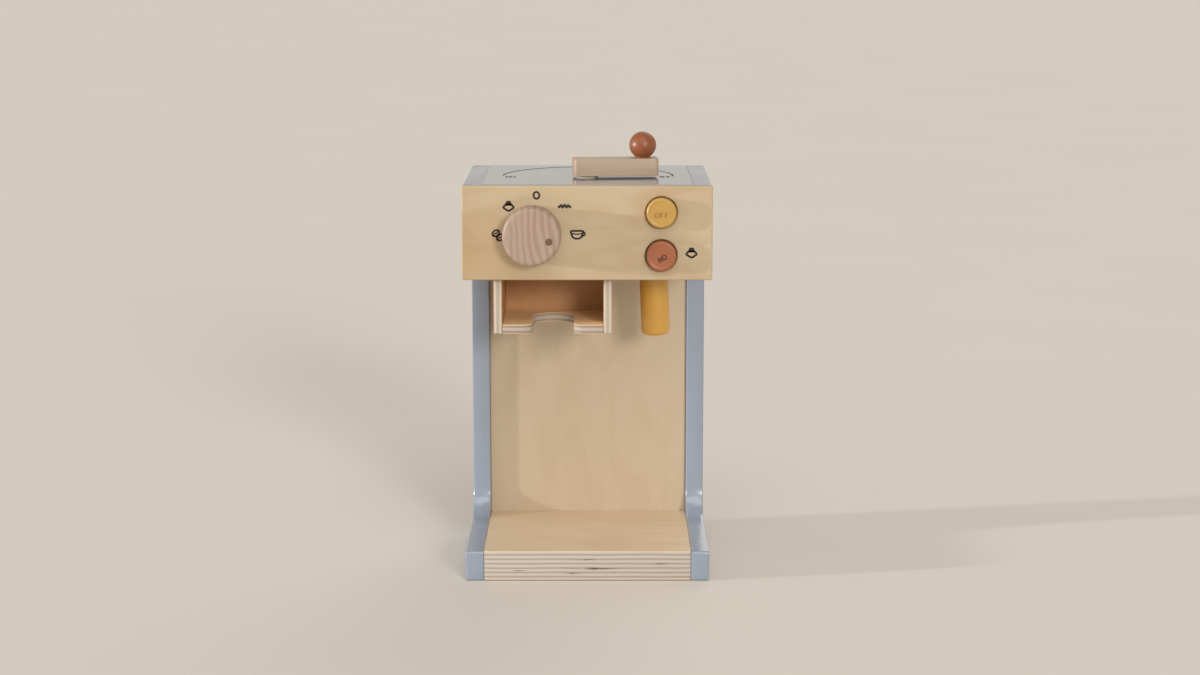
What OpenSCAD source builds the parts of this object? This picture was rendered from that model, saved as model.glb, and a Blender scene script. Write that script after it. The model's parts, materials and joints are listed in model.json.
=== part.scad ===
// Toy coffee maker: a plywood casing with a dock for a filter holder, a dial
// knob, two press buttons, a turning lever on its top and a steam wand.
// Millimetres. X runs from left to right, Y from the front to the back and Z
// up from the table. The origin lies on the table under the middle of the
// whole object, knob and lever included.

/* [Casing] */
// Width across the two side panels
body_w = 160; // [146:1:220]
// Depth from the front panel's face to the rear edges
body_d = 129; // [115:1:200]
// Height of the casing, without the lever on its top
body_h = 261; // [240:1:330]
// Thickness of each side panel
side_t = 12; // [9:0.5:16]
// Thickness of the base board
base_t = 19.5; // [12:0.5:30]
// Gap between the base board and the table
base_lift = 0.6; // [0.2:0.1:3]
// Depth of the side panels' columns, from front to back
column_d = 24; // [23:1:40]
// Radius in the corners of the side panels' cut-out
bay_r = 19; // [6:1:22]
// Thickness of the back panel
back_t = 8; // [5:0.5:10]
// Depth of the recess behind the back panel
back_recess = 12; // [6:0.5:13]

/* [Head] */
// Height of the front panel
front_h = 61; // [57:1:90]
// Thickness of the front panel
front_t = 8; // [7.5:0.5:12]
// Rounding of the front panel's face edges
front_round = 1.5; // [0.5:0.1:3]
// How far the front panel stands out past each side panel
front_over = 0.5; // [0:0.1:2]
// How far the front panel hangs below the head's underside
front_drop = 1; // [0:0.5:4]
// Thickness of the top panel
top_t = 8; // [5:0.5:10]
// Thickness of the board that closes the head from below
floor_t = 6; // [4:0.5:8]

/* [Dock] */
// Width over the dock's two walls
dock_w = 76.6; // [50:0.2:90]
// Depth of the dock from the front panel's back
dock_d = 67; // [62:1:90]
// Height of the dock below the head
dock_h = 37.5; // [25:0.5:60]
// Thickness of the dock's walls
dock_t = 5.4; // [4:0.2:8]
// Thickness of the shelf
shelf_t = 6; // [4:0.5:8]
// Gap between the left side panel and the dock
dock_gap = 7.3; // [1:0.1:15]
// Width of the slot in the shelf
slot_w = 27; // [15:1:40]
// Length of the slot from the shelf's front edge to its round end
slot_l = 50; // [36:1:54]
// Rounding of the shelf's corners beside the slot's mouth
slot_mouth_r = 6; // [1:0.5:8]

/* [Knob] */
// Diameter of the knob
knob_d = 37.6; // [28:0.2:46]
// Thickness of the knob
knob_t = 16; // [13:0.5:24]
// Rounding of the knob's front edge
knob_round = 2.5; // [1:0.5:5]
// Gap between the knob and the front panel
knob_gap = 1; // [0.6:0.1:3]
// Distance of the knob's axis from the casing's left side
knob_in = 44.7; // [36:0.1:60]
// Diameter of the knob's axle
knob_axle_d = 10; // [6:0.5:14]
// Diameter of the disc that holds the axle behind the front panel
knob_disc_d = 22; // [18:0.5:30]
// Diameter of the pointer dot
dot_d = 4.8; // [3:0.1:6]
// Depth of the pointer dot
dot_t = 2; // [1:0.1:4]
// Distance of the pointer dot from the knob's axis
dot_r = 11.4; // [9:0.1:13]
// Direction in which the pointer stands, from level right, upwards
dot_turn = -15; // [-180:1:180]

/* [Buttons] */
// Diameter of each button
button_d = 19.5; // [17:0.1:22]
// Open ring around each button
button_ring = 0.8; // [0.5:0.1:1.5]
// How far each button stands out of the front panel
button_proud = 5; // [4:0.1:8]
// How deep each button sits in the front panel
button_inset = 2; // [1:0.1:2.5]
// Rounding of each button's rim
button_round = 1.6; // [0.5:0.1:2.5]
// Distance of the buttons' axes from the casing's right side
button_in = 32.4; // [28:0.1:45]
// Diameter of each button's stem
stem_d = 8; // [6:0.5:10]
// Diameter of the disc on each stem's rear end
button_disc_d = 16; // [13:0.5:18]
// Room between those discs and the boards above and below
button_room = 1.15; // [0.5:0.05:3]
// Thickness of the plate that guides the stems
plate_t = 5; // [3:0.5:8]
// Width of the plate that guides the stems
plate_w = 36; // [32:1:40]

/* [Springs] */
// Wire of each button's spring
wire_d = 0.5; // [0.3:0.1:0.6]
// Mean diameter of each button's spring
spring_d = 12; // [11:0.5:14]
// Turns of each button's spring
spring_turns = 3; // [2:1:3]

/* [Lever] */
// Length of the lever's bar
bar_l = 56; // [50:1:75]
// Width of the lever's bar
bar_w = 17; // [15:0.5:26]
// Thickness of the lever's bar
bar_t = 11.4; // [10:0.2:16]
// Rounding of the bar's upright edges
bar_round = 2.5; // [1:0.5:5]
// Distance of the pivot from the bar's near end
pivot_in = 9.6; // [8:0.2:15]
// Distance of the pivot from the front panel's face
lever_y_in = 52; // [45:1:80]
// Angle of the lever, from pointing right, towards the back
lever_turn = 5.2; // [-180:0.2:180]
// Gap between the top panel and the bar
bar_gap = 1.2; // [1:0.1:4]
// Diameter of the spacer under the bar
spacer_d = 14; // [12:0.5:20]
// Diameter of the pivot bolt
bolt_d = 6; // [4:0.5:6.5]
// Diameter of the pivot bolt's head
bolt_head_d = 8; // [7:0.1:10]
// Height of the pivot bolt's head
bolt_head_h = 2.6; // [1.5:0.1:3]
// Thickness of the wooden plug over the bolt's head
plug_t = 3; // [2:0.1:4]
// Diameter of the ball
ball_d = 17.8; // [14:0.2:18]
// Distance of the ball from the pivot
ball_in = 36.6; // [25:0.2:38]
// Diameter of the foot under the ball
ball_foot_d = 11.4; // [8:0.2:13]
// Height of the ball's centre over the bar
ball_rise = 9; // [8.9:0.1:12]
// Diameter of the dowel in the ball
ball_dowel_d = 5; // [4:0.5:6]

/* [Steam wand] */
// Diameter of the wand
wand_d = 20; // [16:0.5:26]
// Length of the wand
wand_l = 46; // [35:0.5:70]
// Rounding of the wand's lower edge
wand_round = 3.5; // [1:0.5:5]
// Gap between the head and the wand
wand_gap = 1.1; // [1:0.1:3]
// Distance of the wand's axis from the casing's right side, at the head
wand_in = 36; // [30:0.1:50]
// Distance of the wand's axis from the front panel's face
wand_y_in = 62; // [40:1:80]
// Lean of the wand to the right
wand_lean = 2; // [0:0.1:3.5]
// Diameter of the wand's axle
wand_axle_d = 8; // [6:0.5:10]
// Diameter of the disc that holds the wand's axle above the head's floor
wand_disc_d = 20; // [14:0.5:22]

/* [Fits] */
// Radial clearance of a shaft that turns or slides in its bore
run_gap = 0.08; // [0.02:0.01:0.1]
// Radial glue gap round a dowel, pin or screw in its hole
glue_gap = 0.05; // [0.01:0.01:0.1]
// Gap between a turning or sliding face and the face that it stops against
face_gap = 0.3; // [0.2:0.05:0.5]
// Depth of a blind hole past the end of what is in it
hole_end = 0.5; // [0.2:0.1:1.5]

/* [Dowels, pins and screws] */
// Diameter of the dowels between the base board and the side panels
dowel_d = 6; // [4:0.5:8]
// Length of those dowels inside the base board
dowel_l = 20; // [12:1:28]
// Diameter of the pins in the thinner boards
pin_d = 3; // [2:0.1:3.5]
// Length of a pin inside the board that it holds
pin_l = 13; // [8:1:20]
// Wood left between a blind hole and the far face of its board
skin = 1.5; // [1:0.1:2]
// Wood left between a blind hole and a side panel's outer face
side_skin = 4; // [2:0.5:5]
// Diameter of the screws
screw_d = 3; // [2.5:0.1:3.5]
// Diameter of the screws' heads
screw_head_d = 6.4; // [5.5:0.1:7]
// Height of the screws' heads
screw_head_h = 2.2; // [1.5:0.1:2.5]
// Length of the screws in the back panel
back_screw_l = 24; // [18:1:35]
// Length of the screws in the axles and stems
disc_screw_l = 12; // [8:0.5:13]
// Diameter of the four screws in the buttons' guide plate
plate_screw_d = 2.2; // [1.8:0.1:2.6]
// Thickness of the discs on the axles and stems
disc_t = 4.5; // [3:0.5:5]

/* [Hidden] */

// Facets of every round shape in a preview
$fn = 96;
// Overlap that joins two shapes of one solid
lap = 1;

// Colours of the finishes
blue_grey = "#9fa8b3";
veneer = "#cbb08c";
pale_ply = "#c8b08e";
beech = "#b99c84";
mustard = "#d9a441";
terracotta = "#a8603f";
dark_wood = "#5f4231";
steel = "#a9abad";

// The front panel's face and the rear edges of the casing
front_y = (knob_t + knob_gap - body_d) / 2;
rear_y = front_y + body_d;
// Width between the side panels
inner_w = body_w - 2 * side_t;
// Height of the base board's top, and of the feet
foot_z = base_lift + base_t;
// Front edge of the columns
column_y = rear_y - column_d;
// Front and rear faces of the back panel
back_y = rear_y - back_recess - back_t;
back_rear_y = back_y + back_t;
// Width of the front panel, and its back face
front_w = body_w + 2 * front_over;
head_y = front_y + front_t;
// Lower edge of the front panel, and the underside of the head behind it
front_z = body_h - front_h;
head_z = front_z + front_drop;
// Top of the head's floor and underside of the top panel
floor_z = head_z + floor_t;
top_z = body_h - top_t;

// Outer and inner faces of the dock
dock_x0 = -inner_w / 2 + dock_gap;
dock_x1 = dock_x0 + dock_w;
dock_mid_x = (dock_x0 + dock_x1) / 2;
dock_z = head_z - dock_h;
dock_inner_w = dock_w - 2 * dock_t;
// Front face of the dock's back wall
dock_back_y = head_y + dock_d - dock_t;

// Axis of the knob, and the ends of its axle
knob_x = knob_in - body_w / 2;
knob_z = (floor_z + top_z) / 2;
knob_back_y = front_y - knob_gap;
knob_bore_l = 10;
axle_end_y = head_y + face_gap;

// Axes of the buttons, and the planes of their parts
button_x = body_w / 2 - button_in;
off_z = top_z - button_disc_d / 2 - button_room;
on_z = floor_z + button_disc_d / 2 + button_room;
button_t = button_proud + button_inset;
button_back_y = front_y + button_inset;
washer_t = 0.8;
stem_bore_l = 4;
plate_rear_y = head_y + plate_t;
stem_end_y = plate_rear_y + face_gap;
spring_l = front_t - button_inset - washer_t;
spring_end_gap = 0.05;
// Edges of the guide plate and the places of its screws
plate_margin = 0.4;
plate_z0 = floor_z + plate_margin;
plate_z1 = top_z - plate_margin;
plate_screw_in = 3.8;
plate_screw_l = plate_t + front_t - 2 * skin;

// Pivot of the lever, and the heights of its parts
lever_y = front_y + lever_y_in;
bar_z = body_h + bar_gap;
bar_top_z = bar_z + bar_t;
bolt_seat_z = bar_top_z - plug_t - bolt_head_h - 2 * face_gap;
sink_d = bolt_head_d + 4 * face_gap;
lever_washer_t = 1;
lever_washer_d = 2 * bolt_d;
nut_t = 5;
nut_d = 1.9 * bolt_d;
bolt_end_z = top_z - lever_washer_t - nut_t - 2;
ball_bore_l = 8;
ball_dowel_l = 6;

// Pivot of the wand
wand_x = body_w / 2 - wand_in;
wand_y = front_y + wand_y_in;
wand_bore_l = 14;
// Gap between the head's floor and the disc, whose lower edge the lean brings down
wand_disc_rise = face_gap + tan(wand_lean) * wand_disc_d / 2;

// Places of the dowels, pins and screws
base_dowel_in = 22;
base_dowel_y = [front_y + base_dowel_in, back_y - base_dowel_in];
head_pin_in = 12;
head_pin_y = [head_y + head_pin_in, column_y - head_pin_in];
top_pin_z = (top_z + body_h) / 2;
floor_pin_z = (head_z + floor_z) / 2;
front_pin_x = (body_w - side_t) / 2;
front_pin_in = 8;
front_pin_z = [floor_z + front_pin_in, top_z - front_pin_in];
dock_pin_in = 22;
dock_pin_y = [head_y + dock_pin_in, dock_back_y - dock_pin_in / 2];
base_screw_in = 30;
base_screw_x = [base_screw_in - inner_w / 2, 0, inner_w / 2 - base_screw_in];
floor_screw_x = [base_screw_x[0], base_screw_x[2]];
base_mid_z = base_lift + base_t / 2;

// A dowel along Z that goes `before` deep below z = 0 and `past` deep above it.
// With a gap, it is the hole for one.
module dowel(d, before, past, gap = 0) {
    spare = gap > 0 ? hole_end : 0;
    translate([0, 0, -before - spare])
        cylinder(d = d + 2 * gap, h = before + past + 2 * spare);
}

// Half of the section of a disc whose far edge is rounded
module disc_section(d, t, r) {
    square([d / 2 - r, t]);
    square([d / 2, t - r]);
    translate([d / 2 - r, t - r]) circle(r);
}

// A turned disc that stands on z = 0, its far edge rounded
module turned_disc(d, t, r) {
    rotate_extrude() disc_section(d, t, r);
}

// A flat washer that stands on z = 0
module ring(d, bore, t) {
    difference() {
        cylinder(d = d, h = t);
        translate([0, 0, -lap]) cylinder(d = bore, h = t + 2 * lap);
    }
}

// A rectangle with rounded corners
module rounded_square(w, l, r) {
    translate([r, 0]) square([w - 2 * r, l]);
    translate([0, r]) square([w, l - 2 * r]);
    for (x = [r, w - r], y = [r, l - r]) translate([x, y]) circle(r);
}

// A board between two corners
module board(low, high) {
    translate(low) cube(high - low);
}

// The cross in a screw's head, sunk below z = 0
module cross_recess() {
    slot = [screw_head_d * 0.55, screw_head_d * 0.13, 2.4];
    for (turn = [0, 90]) rotate([0, 0, turn]) cube(slot, center = true);
}

// A wood screw's shank below z = 0, or with a gap the hole for one
module screw_shank(d, l, gap = 0) {
    if (gap > 0) {
        translate([0, 0, -l - hole_end]) cylinder(d = d + 2 * gap, h = l + hole_end);
    } else {
        translate([0, 0, d - l]) cylinder(d = d, h = l - d);
        translate([0, 0, -l]) cylinder(d1 = d / 5, d2 = d, h = d);
    }
}

// A screw with a round head that stands on z = 0
module pan_screw(d, l, head_d) {
    difference() {
        turned_disc(head_d, screw_head_h, screw_head_h / 3);
        translate([0, 0, screw_head_h]) cross_recess();
    }
    screw_shank(d, l);
}

// A screw whose head is let in, its top at z = 0, or with a gap its hole
module sunk_screw(d, l, gap = 0) {
    difference() {
        translate([0, 0, -screw_head_h])
            cylinder(d1 = d + 2 * gap, d2 = screw_head_d + 2 * gap, h = screw_head_h);
        if (gap == 0) cross_recess();
    }
    translate([0, 0, -screw_head_h]) screw_shank(d, l - screw_head_h, gap);
}

// A disc that a screw holds on the end of an axle or stem
module end_disc(d) {
    ring(d, screw_d + 2 * glue_gap, disc_t);
}

// Places and directions ------------------------------------------------

// Turns +Z to the front, for what is seen from the front
module facing_front() {
    rotate([90, 0, 0]) children();
}

// Turns +Z to the back
module facing_back() {
    rotate([-90, 0, 0]) children();
}

module at_knob(y) {
    translate([knob_x, y, knob_z]) children();
}

module at_button(y, z) {
    translate([button_x, y, z]) children();
}

module at_lever(z) {
    translate([0, lever_y, z]) rotate([0, 0, lever_turn]) children();
}

// Stands on the head's underside, with the wand's lean. +Z goes up the axle
module at_wand() {
    translate([wand_x, wand_y, head_z]) rotate([0, -wand_lean, 0]) children();
}

// Dowels, pins and screws, or with a gap their holes ---------------------

module base_dowel_set(gap = 0) {
    for (side = [-1, 1], y = base_dowel_y)
        translate([side * inner_w / 2, y, base_mid_z]) rotate([0, side * 90, 0])
            dowel(dowel_d, dowel_l, side_t - side_skin, gap);
}

module side_pin_set(z, gap = 0) {
    for (side = [-1, 1], y = head_pin_y)
        translate([side * inner_w / 2, y, z]) rotate([0, side * 90, 0])
            dowel(pin_d, pin_l, side_t - side_skin, gap);
}

module front_pin_set(gap = 0) {
    for (side = [-1, 1], z = front_pin_z)
        translate([side * front_pin_x, head_y, z]) facing_front()
            dowel(pin_d, pin_l, front_t - skin - hole_end, gap);
}

module dock_pin_set(gap = 0) {
    for (x = [dock_x0 + dock_t / 2, dock_x1 - dock_t / 2], y = dock_pin_y)
        translate([x, y, head_z]) dowel(pin_d, pin_l, floor_t - skin - hole_end, gap);
}

module back_screw_set(gap = 0) {
    for (x = base_screw_x) translate([x, back_rear_y, base_mid_z]) facing_back()
        sunk_screw(screw_d, back_screw_l, gap);
    for (x = floor_screw_x) translate([x, back_rear_y, floor_pin_z]) facing_back()
        sunk_screw(screw_d, back_screw_l, gap);
}

module plate_screw_places() {
    for (x = [-1, 1] * (plate_w / 2 - plate_screw_in),
         z = [plate_z0 + plate_screw_in, plate_z1 - plate_screw_in])
        at_button(plate_rear_y, z) translate([x, 0, 0]) facing_back() children();
}

// Casing -----------------------------------------------------------------

// Fills the inner corner at the origin, between an edge that runs to -x and one
// that runs to +y, with a round of radius r
module inner_corner(r) {
    difference() {
        translate([-r, -lap]) square(r + lap);
        translate([-r, r]) circle(r);
    }
}

// The side panel's outline: foot, column and head, with two round corners
module side_outline() {
    translate([column_y, 0]) square([column_d, body_h]);
    translate([front_y, 0]) square([body_d, foot_z]);
    translate([head_y, head_z]) square([body_d - front_t, body_h - head_z]);
    translate([column_y, foot_z]) inner_corner(bay_r);
    translate([column_y, head_z]) mirror([0, 1]) inner_corner(bay_r);
}

module side_panel(x) {
    color(blue_grey) difference() {
        translate([x, 0, 0]) rotate([90, 0, 90]) linear_extrude(side_t) side_outline();
        base_dowel_set(glue_gap);
        side_pin_set(top_pin_z, glue_gap);
        side_pin_set(floor_pin_z, glue_gap);
        front_pin_set(glue_gap);
    }
}

module left_side_panel() {
    side_panel(-body_w / 2);
}

module right_side_panel() {
    side_panel(inner_w / 2);
}

module base_board() {
    color(veneer) difference() {
        board([-inner_w / 2, front_y, base_lift], [inner_w / 2, back_y, foot_z]);
        base_dowel_set(glue_gap);
        back_screw_set(glue_gap);
    }
}

module back_panel() {
    color(veneer) difference() {
        board([-inner_w / 2, back_y, base_lift], [inner_w / 2, back_rear_y, top_z]);
        back_screw_set(glue_gap);
    }
}

module top_panel() {
    color(blue_grey) difference() {
        board([-inner_w / 2, head_y, top_z], [inner_w / 2, rear_y, body_h]);
        side_pin_set(top_pin_z, glue_gap);
        at_lever(top_z - lap) cylinder(d = bolt_d + 2 * glue_gap, h = top_t + 2 * lap);
    }
}

module head_floor() {
    color(veneer) difference() {
        board([-inner_w / 2, head_y, head_z], [inner_w / 2, back_y, floor_z]);
        side_pin_set(floor_pin_z, glue_gap);
        dock_pin_set(glue_gap);
        back_screw_set(glue_gap);
        at_wand() translate([0, 0, -lap])
            cylinder(d = wand_axle_d + 2 * run_gap, h = floor_t + 3 * lap);
    }
}

// The front panel's section: face edges rounded above and below
module front_section() {
    translate([front_y + front_round, front_z]) square([front_t - front_round, front_h]);
    translate([front_y, front_z + front_round]) square([front_t, front_h - 2 * front_round]);
    for (z = [front_z + front_round, body_h - front_round])
        translate([front_y + front_round, z]) circle(front_round);
}

module front_panel() {
    color(pale_ply) difference() {
        translate([-front_w / 2, 0, 0]) rotate([90, 0, 90]) linear_extrude(front_w)
            front_section();
        at_knob(front_y - lap) facing_back()
            cylinder(d = knob_axle_d + 2 * run_gap, h = front_t + 2 * lap);
        for (z = [off_z, on_z]) at_button(front_y - lap, z) facing_back()
            cylinder(d = button_d + 2 * button_ring, h = front_t + 2 * lap);
        plate_screw_places() screw_shank(plate_screw_d, plate_screw_l, glue_gap);
        front_pin_set(glue_gap);
    }
}

// Dock -------------------------------------------------------------------

module dock_wall(x) {
    color(pale_ply) difference() {
        board([x, head_y, dock_z], [x + dock_t, head_y + dock_d, head_z]);
        dock_pin_set(glue_gap);
    }
}

module dock_left_wall() {
    dock_wall(dock_x0);
}

module dock_right_wall() {
    dock_wall(dock_x1 - dock_t);
}

module dock_back_wall() {
    color(pale_ply)
        board([dock_x0 + dock_t, dock_back_y, dock_z],
              [dock_x1 - dock_t, dock_back_y + dock_t, head_z]);
}

// What a round of radius r takes off the outer corner at the origin
module corner_cut(r) {
    difference() {
        translate([-lap, -lap]) square(r + lap);
        translate([r, r]) circle(r);
    }
}

// The shelf's outline, seen from above, its slot open to the front
module shelf_outline() {
    slot_r = slot_w / 2;
    difference() {
        translate([-dock_inner_w / 2, 0]) square([dock_inner_w, dock_back_y - head_y]);
        translate([-slot_r, -lap]) square([slot_w, slot_l - slot_r + lap]);
        translate([0, slot_l - slot_r]) circle(slot_r);
        translate([slot_r, 0]) corner_cut(slot_mouth_r);
        mirror([1, 0]) translate([slot_r, 0]) corner_cut(slot_mouth_r);
    }
}

module dock_shelf() {
    color(pale_ply) translate([dock_mid_x, head_y, dock_z])
        linear_extrude(shelf_t) shelf_outline();
}

module base_dowels() {
    color(beech) base_dowel_set();
}

module top_pins() {
    color(beech) side_pin_set(top_pin_z);
}

module floor_pins() {
    color(beech) side_pin_set(floor_pin_z);
}

module front_pins() {
    color(beech) front_pin_set();
}

module dock_pins() {
    color(beech) dock_pin_set();
}

module back_screws() {
    color(steel) back_screw_set();
}

// Knob -------------------------------------------------------------------

module knob_axle_space(gap = 0) {
    at_knob(knob_back_y) facing_front()
        dowel(knob_axle_d, axle_end_y - knob_back_y, knob_bore_l, gap);
}

module dot_space(gap = 0) {
    at_knob(knob_back_y - knob_t)
        translate([dot_r * cos(dot_turn), 0, dot_r * sin(dot_turn)])
            facing_back() cylinder(d = dot_d + 2 * gap, h = dot_t);
}

module knob() {
    color(beech) difference() {
        at_knob(knob_back_y) facing_front() turned_disc(knob_d, knob_t, knob_round);
        knob_axle_space(glue_gap);
        dot_space(glue_gap);
    }
}

module knob_dot() {
    color(dark_wood) dot_space();
}

module knob_axle() {
    color(beech) difference() {
        knob_axle_space();
        at_knob(axle_end_y) facing_back() screw_shank(screw_d, disc_screw_l, glue_gap);
    }
}

module knob_washer() {
    color(steel) at_knob(knob_back_y) facing_back()
        ring(knob_disc_d, knob_axle_d + 2 * glue_gap, knob_gap - face_gap);
}

module knob_disc() {
    color(beech) at_knob(axle_end_y) facing_back() end_disc(knob_disc_d);
}

module knob_screw() {
    color(steel) at_knob(axle_end_y + disc_t) facing_back()
        pan_screw(screw_d, disc_screw_l + disc_t, screw_head_d);
}

// Buttons ----------------------------------------------------------------

module button_plate() {
    color(pale_ply) difference() {
        board([button_x - plate_w / 2, head_y, plate_z0],
              [button_x + plate_w / 2, plate_rear_y, plate_z1]);
        for (z = [off_z, on_z]) at_button(head_y - lap, z) facing_back()
            cylinder(d = stem_d + 2 * run_gap, h = plate_t + 2 * lap);
        plate_screw_places() screw_shank(plate_screw_d, plate_screw_l, glue_gap);
    }
}

module plate_screws() {
    color(steel) plate_screw_places()
        pan_screw(plate_screw_d, plate_screw_l, 2 * plate_screw_d);
}

module stem_space(z, gap = 0) {
    at_button(button_back_y, z) facing_front()
        dowel(stem_d, stem_end_y - button_back_y, stem_bore_l, gap);
}

module button_cap(z) {
    difference() {
        at_button(button_back_y, z) facing_front()
            turned_disc(button_d, button_t, button_round);
        stem_space(z, glue_gap);
    }
}

module button_stem(z) {
    color(beech) difference() {
        stem_space(z);
        at_button(stem_end_y, z) facing_back()
            screw_shank(screw_d, disc_screw_l, glue_gap);
    }
}

module button_end_disc(z) {
    color(beech) at_button(stem_end_y, z) facing_back() end_disc(button_disc_d);
}

module button_screw(z) {
    color(steel) at_button(stem_end_y + disc_t, z) facing_back()
        pan_screw(screw_d, disc_screw_l + disc_t, screw_head_d);
}

module button_washer(z) {
    color(steel) at_button(button_back_y, z) facing_back()
        ring(spring_d + 4 * wire_d, stem_d + 2 * run_gap, washer_t);
}

// A coil spring between the washer and the guide plate. Ring i of the wire lies
// at its turn round the axis and rises evenly. Its six corners are joined to
// the next ring's by two triangles each.
module button_spring(z) {
    sides = 6;
    steps = 16 * spring_turns;
    wire_r = wire_d / 2;
    rise = spring_l - wire_d - 2 * spring_end_gap;
    points = [
        for (i = [0:steps], k = [0:sides - 1])
            let (turn = 360 * spring_turns * i / steps,
                 around = 360 * k / sides,
                 r = spring_d / 2 + wire_r * cos(around),
                 h = spring_end_gap + wire_r + rise * i / steps + wire_r * sin(around))
            [r * cos(turn), r * sin(turn), h]
    ];
    first_cap = [for (k = [1:sides - 2]) [0, k, k + 1]];
    last_cap = [for (k = [1:sides - 2]) [steps * sides, steps * sides + k + 1,
                                         steps * sides + k]];
    walls = [
        for (i = [0:steps - 1], k = [0:sides - 1], half = [0, 1])
            let (a = i * sides + k,
                 b = i * sides + (k + 1) % sides,
                 c = a + sides,
                 d = b + sides)
            half == 0 ? [a, c, b] : [b, c, d]
    ];
    color(steel) at_button(button_back_y + washer_t, z) facing_back()
        polyhedron(points, concat(first_cap, last_cap, walls));
}

module off_button() {
    color(mustard) button_cap(off_z);
}

module off_stem() {
    button_stem(off_z);
}

module off_disc() {
    button_end_disc(off_z);
}

module off_screw() {
    button_screw(off_z);
}

module off_washer() {
    button_washer(off_z);
}

module off_spring() {
    button_spring(off_z);
}

module on_button() {
    color(terracotta) button_cap(on_z);
}

module on_stem() {
    button_stem(on_z);
}

module on_disc() {
    button_end_disc(on_z);
}

module on_screw() {
    button_screw(on_z);
}

module on_washer() {
    button_washer(on_z);
}

module on_spring() {
    button_spring(on_z);
}

// Lever ------------------------------------------------------------------

module ball_dowel_space(gap = 0) {
    at_lever(bar_top_z) translate([ball_in, 0, 0])
        dowel(ball_dowel_d, ball_dowel_l, ball_bore_l, gap);
}

module lever_bar() {
    color(beech) difference() {
        at_lever(bar_z) translate([-pivot_in, -bar_w / 2, 0]) linear_extrude(bar_t)
            rounded_square(bar_l, bar_w, bar_round);
        at_lever(bar_z - lap) cylinder(d = bolt_d + 2 * run_gap, h = bar_t + 2 * lap);
        at_lever(bolt_seat_z - face_gap)
            cylinder(d = sink_d, h = bar_t);
        ball_dowel_space(glue_gap);
    }
}

module lever_ball() {
    color(terracotta) difference() {
        at_lever(bar_top_z) translate([ball_in, 0, 0]) {
            cylinder(d = ball_foot_d, h = ball_rise);
            translate([0, 0, ball_rise]) sphere(d = ball_d);
        }
        ball_dowel_space(glue_gap);
    }
}

module ball_dowel() {
    color(beech) ball_dowel_space();
}

module lever_plug() {
    color(beech) at_lever(bar_top_z - plug_t)
        cylinder(d = sink_d - 2 * glue_gap, h = plug_t);
}

module lever_bolt() {
    color(steel) difference() {
        union() {
            at_lever(bolt_end_z) cylinder(d = bolt_d, h = bolt_seat_z + lap - bolt_end_z);
            at_lever(bolt_seat_z) cylinder(d = bolt_head_d, h = bolt_head_h);
        }
        at_lever(bolt_seat_z + bolt_head_h) cross_recess();
    }
}

module lever_spacer() {
    color(beech) at_lever(body_h)
        ring(spacer_d, bolt_d + 2 * glue_gap, bar_gap - face_gap);
}

module lever_washer() {
    color(steel) at_lever(top_z - lever_washer_t)
        ring(lever_washer_d, bolt_d + 2 * glue_gap, lever_washer_t);
}

module lever_nut() {
    color(steel) at_lever(top_z - lever_washer_t - nut_t) difference() {
        cylinder(d = nut_d, h = nut_t, $fn = 6);
        translate([0, 0, -lap]) cylinder(d = bolt_d + 2 * glue_gap, h = nut_t + 2 * lap);
    }
}

// Steam wand -------------------------------------------------------------

module wand_axle_space(gap = 0) {
    at_wand() translate([0, 0, -wand_gap])
        dowel(wand_axle_d, wand_bore_l, wand_gap + floor_t + wand_disc_rise, gap);
}

module wand() {
    color(mustard) difference() {
        at_wand() translate([0, 0, -wand_gap]) rotate([180, 0, 0])
            turned_disc(wand_d, wand_l, wand_round);
        wand_axle_space(glue_gap);
    }
}

module at_wand_disc() {
    at_wand() translate([0, 0, floor_t + wand_disc_rise]) children();
}

module wand_axle() {
    color(beech) difference() {
        wand_axle_space();
        at_wand_disc() screw_shank(screw_d, disc_screw_l, glue_gap);
    }
}

module wand_disc() {
    color(beech) at_wand_disc() end_disc(wand_disc_d);
}

module wand_screw() {
    color(steel) at_wand_disc() translate([0, 0, disc_t])
        pan_screw(screw_d, disc_screw_l + disc_t, screw_head_d);
}

left_side_panel();
right_side_panel();
base_board();
back_panel();
top_panel();
front_panel();
head_floor();
dock_left_wall();
dock_right_wall();
dock_back_wall();
dock_shelf();
base_dowels();
top_pins();
floor_pins();
front_pins();
dock_pins();
back_screws();
knob();
knob_dot();
knob_axle();
knob_washer();
knob_disc();
knob_screw();
button_plate();
plate_screws();
off_button();
off_stem();
off_disc();
off_screw();
off_washer();
off_spring();
on_button();
on_stem();
on_disc();
on_screw();
on_washer();
on_spring();
lever_bar();
lever_ball();
ball_dowel();
lever_plug();
lever_bolt();
lever_spacer();
lever_washer();
lever_nut();
wand();
wand_axle();
wand_disc();
wand_screw();
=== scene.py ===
# %% [markdown]
# # A toy coffee maker, dressed
#
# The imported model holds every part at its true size: boards, knob, buttons,
# lever and wand. This lesson gives each the surface that the real toy has.
# Boards get softened edges and plies, turned parts get true rounds, and each
# finish is worked out by shader nodes.

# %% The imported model
import json
import math

import bpy
import numpy as np
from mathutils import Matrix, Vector
from mathutils.geometry import tessellate_polygon

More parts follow.
